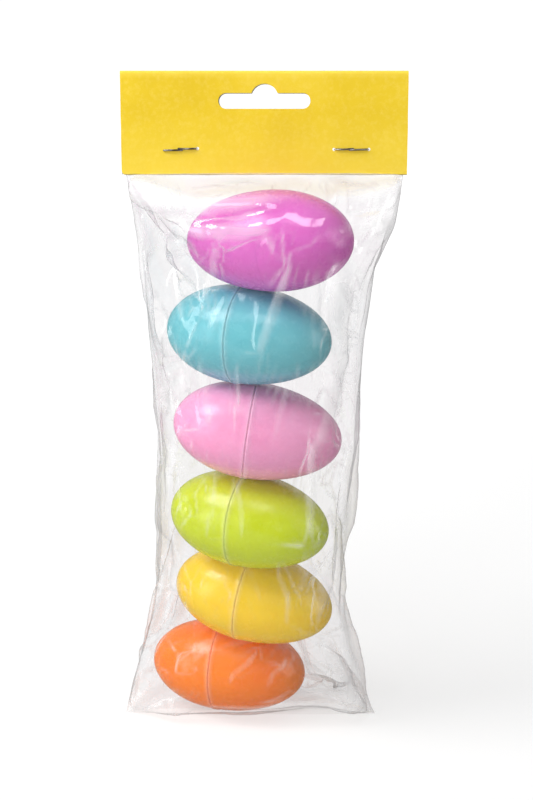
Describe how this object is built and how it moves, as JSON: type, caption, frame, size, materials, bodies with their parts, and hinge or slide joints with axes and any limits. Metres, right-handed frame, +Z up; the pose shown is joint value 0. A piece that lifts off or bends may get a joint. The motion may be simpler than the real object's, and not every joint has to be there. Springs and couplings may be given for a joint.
{
  "type": "bagged plastic egg set",
  "caption": "Hang-pack of hollow snap-together plastic eggs stacked in a clear film bag, closed by a folded and stapled header card with a hanging slot.",
  "frame": {"origin": "a point on the flat bottom of the bag, below the middle of the header card's width", "axes": "+Z up, -Y out of the front of the pack, +X to the right seen from the front"},
  "size_m": [0.105, 0.0683, 0.2537],
  "materials": {
    "card": "matt, lightly mottled",
    "film": "clear, glossy and crinkled",
    "staple_wire": "bright drawn wire",
    "orange_plastic": "satin moulded",
    "yellow_plastic": "satin moulded",
    "lime_plastic": "satin moulded",
    "pink_plastic": "satin moulded",
    "turquoise_plastic": "satin moulded",
    "orchid_plastic": "satin moulded"
  },
  "bodies": {
    "pack": {"header_card": "card", "staple_left": "staple_wire", "staple_right": "staple_wire", "film_front": "film", "film_back": "film"},
    "orange_egg_cap": {"orange_egg_cap": "orange_plastic"},
    "orange_egg_cup": {"orange_egg_cup": "orange_plastic"},
    "yellow_egg_cup": {"yellow_egg_cup": "yellow_plastic"},
    "yellow_egg_cap": {"yellow_egg_cap": "yellow_plastic"},
    "lime_egg_cap": {"lime_egg_cap": "lime_plastic"},
    "lime_egg_cup": {"lime_egg_cup": "lime_plastic"},
    "pink_egg_cup": {"pink_egg_cup": "pink_plastic"},
    "pink_egg_cap": {"pink_egg_cap": "pink_plastic"},
    "turquoise_egg_cap": {"turquoise_egg_cap": "turquoise_plastic"},
    "turquoise_egg_cup": {"turquoise_egg_cup": "turquoise_plastic"},
    "orchid_egg_cap": {"orchid_egg_cap": "orchid_plastic"},
    "orchid_egg_cup": {"orchid_egg_cup": "orchid_plastic"}
  },
  "joints": [
    {"name": "orange_egg_roll", "type": "hinge", "parent": "pack", "child": "orange_egg_cap", "pos_m": [-0.0165, 0.011, 0.0186], "axis": [0.9509, -0.309, 0.0175], "continuous": true},
    {"name": "orange_egg_open", "type": "slide", "parent": "orange_egg_cap", "child": "orange_egg_cup", "axis": [-0.9509, 0.309, -0.0175], "range_m": [0, 0.0042]},
    {"name": "yellow_egg_roll", "type": "hinge", "parent": "pack", "child": "yellow_egg_cup", "pos_m": [-0.0065, 0.0035, 0.0536], "axis": [0.9492, -0.2902, -0.1219], "continuous": true},
    {"name": "yellow_egg_open", "type": "slide", "parent": "yellow_egg_cup", "child": "yellow_egg_cap", "axis": [0.9492, -0.2902, -0.1219], "range_m": [0, 0.0042]},
    {"name": "lime_egg_roll", "type": "hinge", "parent": "pack", "child": "lime_egg_cap", "pos_m": [-0.008, -0.004, 0.0889], "axis": [0.9266, -0.3744, -0.0349], "continuous": true},
    {"name": "lime_egg_open", "type": "slide", "parent": "lime_egg_cap", "child": "lime_egg_cup", "axis": [-0.9266, 0.3744, 0.0349], "range_m": [0, 0.0042]},
    {"name": "pink_egg_roll", "type": "hinge", "parent": "pack", "child": "pink_egg_cup", "pos_m": [-0.005, -0.005, 0.1249], "axis": [0.9871, -0.1037, -0.1219], "continuous": true},
    {"name": "pink_egg_open", "type": "slide", "parent": "pink_egg_cup", "child": "pink_egg_cap", "axis": [0.9871, -0.1037, -0.1219], "range_m": [0, 0.0042]},
    {"name": "turquoise_egg_roll", "type": "hinge", "parent": "pack", "child": "turquoise_egg_cap", "pos_m": [-0.008, -0.0025, 0.161], "axis": [0.9336, -0.3584, 0], "continuous": true},
    {"name": "turquoise_egg_open", "type": "slide", "parent": "turquoise_egg_cap", "child": "turquoise_egg_cup", "axis": [-0.9336, 0.3584, 0], "range_m": [0, 0.0042]},
    {"name": "orchid_egg_roll", "type": "hinge", "parent": "pack", "child": "orchid_egg_cap", "pos_m": [0.004, -0.007, 0.197], "axis": [-0.9155, 0.3886, -0.1045], "continuous": true},
    {"name": "orchid_egg_open", "type": "slide", "parent": "orchid_egg_cap", "child": "orchid_egg_cup", "axis": [0.9155, -0.3886, 0.1045], "range_m": [0, 0.0042]}
  ]
}
